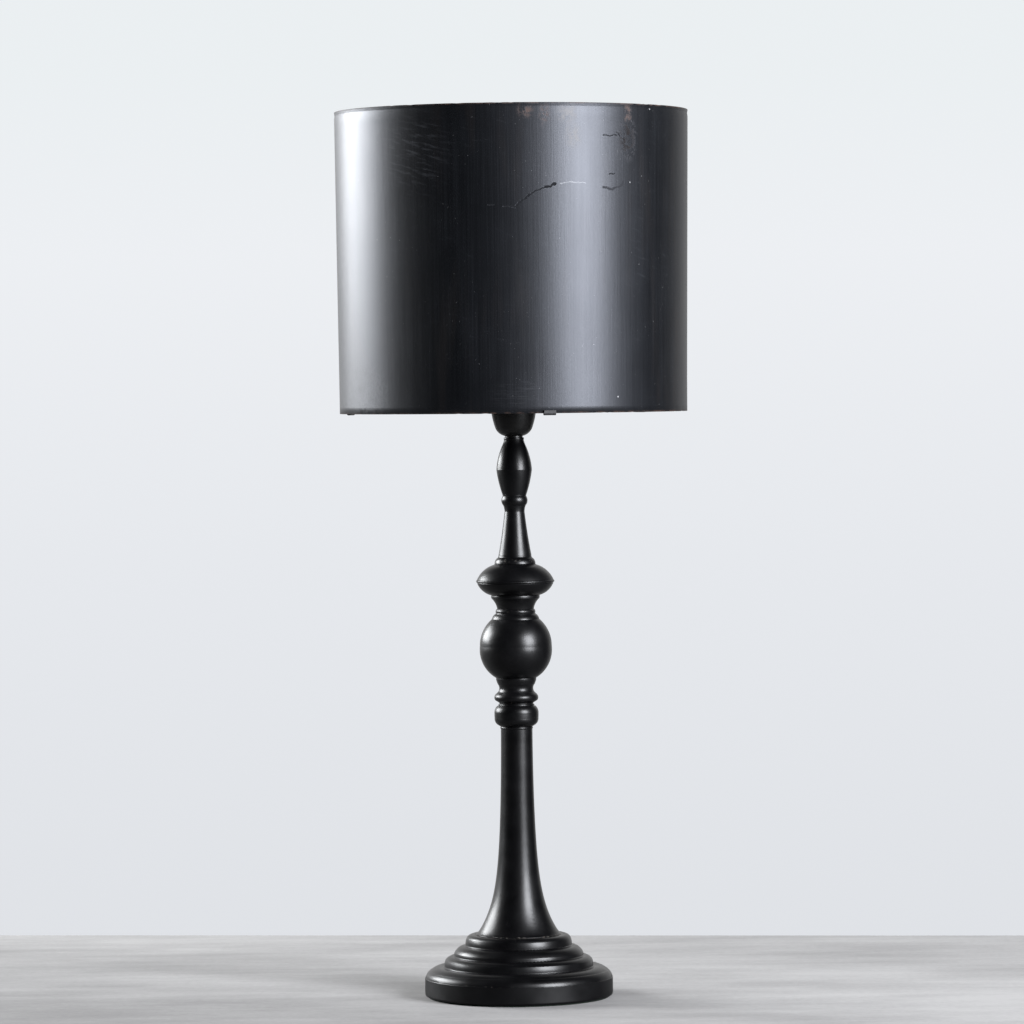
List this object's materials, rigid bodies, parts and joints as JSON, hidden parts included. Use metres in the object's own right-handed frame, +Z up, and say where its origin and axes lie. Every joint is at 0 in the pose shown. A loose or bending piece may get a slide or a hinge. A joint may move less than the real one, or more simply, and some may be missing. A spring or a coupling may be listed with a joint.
{
  "type": "table lamp with shade",
  "caption": "Table lamp with a turned black wooden stand on a stepped round base and a plain drum shade of thin dark sheet steel.",
  "frame": {"origin": "centre of the underside of the felt, which is the bottom centre of the whole lamp's box", "axes": "+Z up along the stem; -Y is the front, +Y the back with the cable inlet and the shade's seam; +X to the right seen from the front"},
  "size_m": [0.3, 0.3007, 0.7523],
  "materials": {
    "lacquered_wood": "black satin lacquer over turned wood, worn at its edges",
    "blackened_steel": "burnished blackened sheet, faint vertical brushing",
    "fitter_steel": "thin black paint on steel strip",
    "rivet_steel": "darkened steel",
    "bakelite": "black moulded bakelite",
    "porcelain": "white glazed",
    "brass": "stamped brass",
    "zinc_steel": "zinc plated",
    "iron": "rough cast",
    "felt": "dark green felt",
    "black_plastic": "moulded",
    "white_plastic": "moulded",
    "brown_insulation": "extruded",
    "blue_insulation": "extruded",
    "fibre": "pressed red fibre",
    "bulb_glass": "clear",
    "bulb_cap_metal": "rolled thread",
    "black_glass": "black vitrite",
    "contact_metal": "soldered",
    "filament": "yellow phosphor coating on wires"
  },
  "bodies": {
    "stand": {"felt_pad": "felt", "base": "lacquered_wood", "base_weight": "iron", "weight_screws": "zinc_steel", "base_washer": "zinc_steel", "base_nut": "zinc_steel", "threaded_tube": "zinc_steel", "cable_bushing": "black_plastic", "terminal_block": "white_plastic", "block_screws": "zinc_steel", "block_fixing_screw": "zinc_steel", "lead_live": "brown_insulation", "lead_neutral": "blue_insulation", "lower_column": "lacquered_wood", "middle_knop": "lacquered_wood", "upper_spindle": "lacquered_wood", "holder_cap": "bakelite", "holder_grub_screw": "zinc_steel", "holder_insert": "porcelain", "holder_terminal_screws": "brass", "holder_screw_shell": "brass", "centre_contact": "brass", "holder_skirt": "bakelite"},
    "shade": {"shade_shell": "blackened_steel", "seam_strip": "blackened_steel", "seam_rivets": "rivet_steel", "fitter_hub": "fitter_steel", "fitter_arm_1": "fitter_steel", "fitter_arm_2": "fitter_steel", "fitter_arm_3": "fitter_steel", "fitter_rivets": "rivet_steel"},
    "ring_carrier": {"ring_washer": "fibre"},
    "shade_ring": {"shade_ring": "bakelite"},
    "bulb_tip": {"bulb_contact": "contact_metal"},
    "bulb": {"bulb_glass": "bulb_glass", "bulb_cap": "bulb_cap_metal", "bulb_insulator": "black_glass", "bulb_stem": "bulb_glass", "bulb_filament": "filament"}
  },
  "joints": [
    {"name": "shade_turn", "type": "hinge", "parent": "stand", "child": "shade", "pos_m": [0, 0, 0.5085], "axis": [0, 0, 1], "continuous": true},
    {"name": "ring_rise", "type": "slide", "parent": "stand", "child": "ring_carrier", "axis": [0, 0, 1], "range_m": [0, 0.012]},
    {"name": "ring_unscrew", "type": "hinge", "parent": "ring_carrier", "child": "shade_ring", "pos_m": [0, 0, 0.5108], "axis": [0, 0, 1], "range_deg": [0, 2160]},
    {"name": "bulb_rise", "type": "slide", "parent": "stand", "child": "bulb_tip", "axis": [0, 0, 1], "range_m": [0, 0.01452]},
    {"name": "bulb_unscrew", "type": "hinge", "parent": "bulb_tip", "child": "bulb", "pos_m": [0, 0, 0.5046], "axis": [0, 0, 1], "range_deg": [0, 1440]}
  ],
  "couplings": [
    {"joint": "ring_rise", "follows": "ring_unscrew", "m_per_rad": 0.00031831},
    {"joint": "bulb_rise", "follows": "bulb_unscrew", "m_per_rad": 0.00057757}
  ]
}
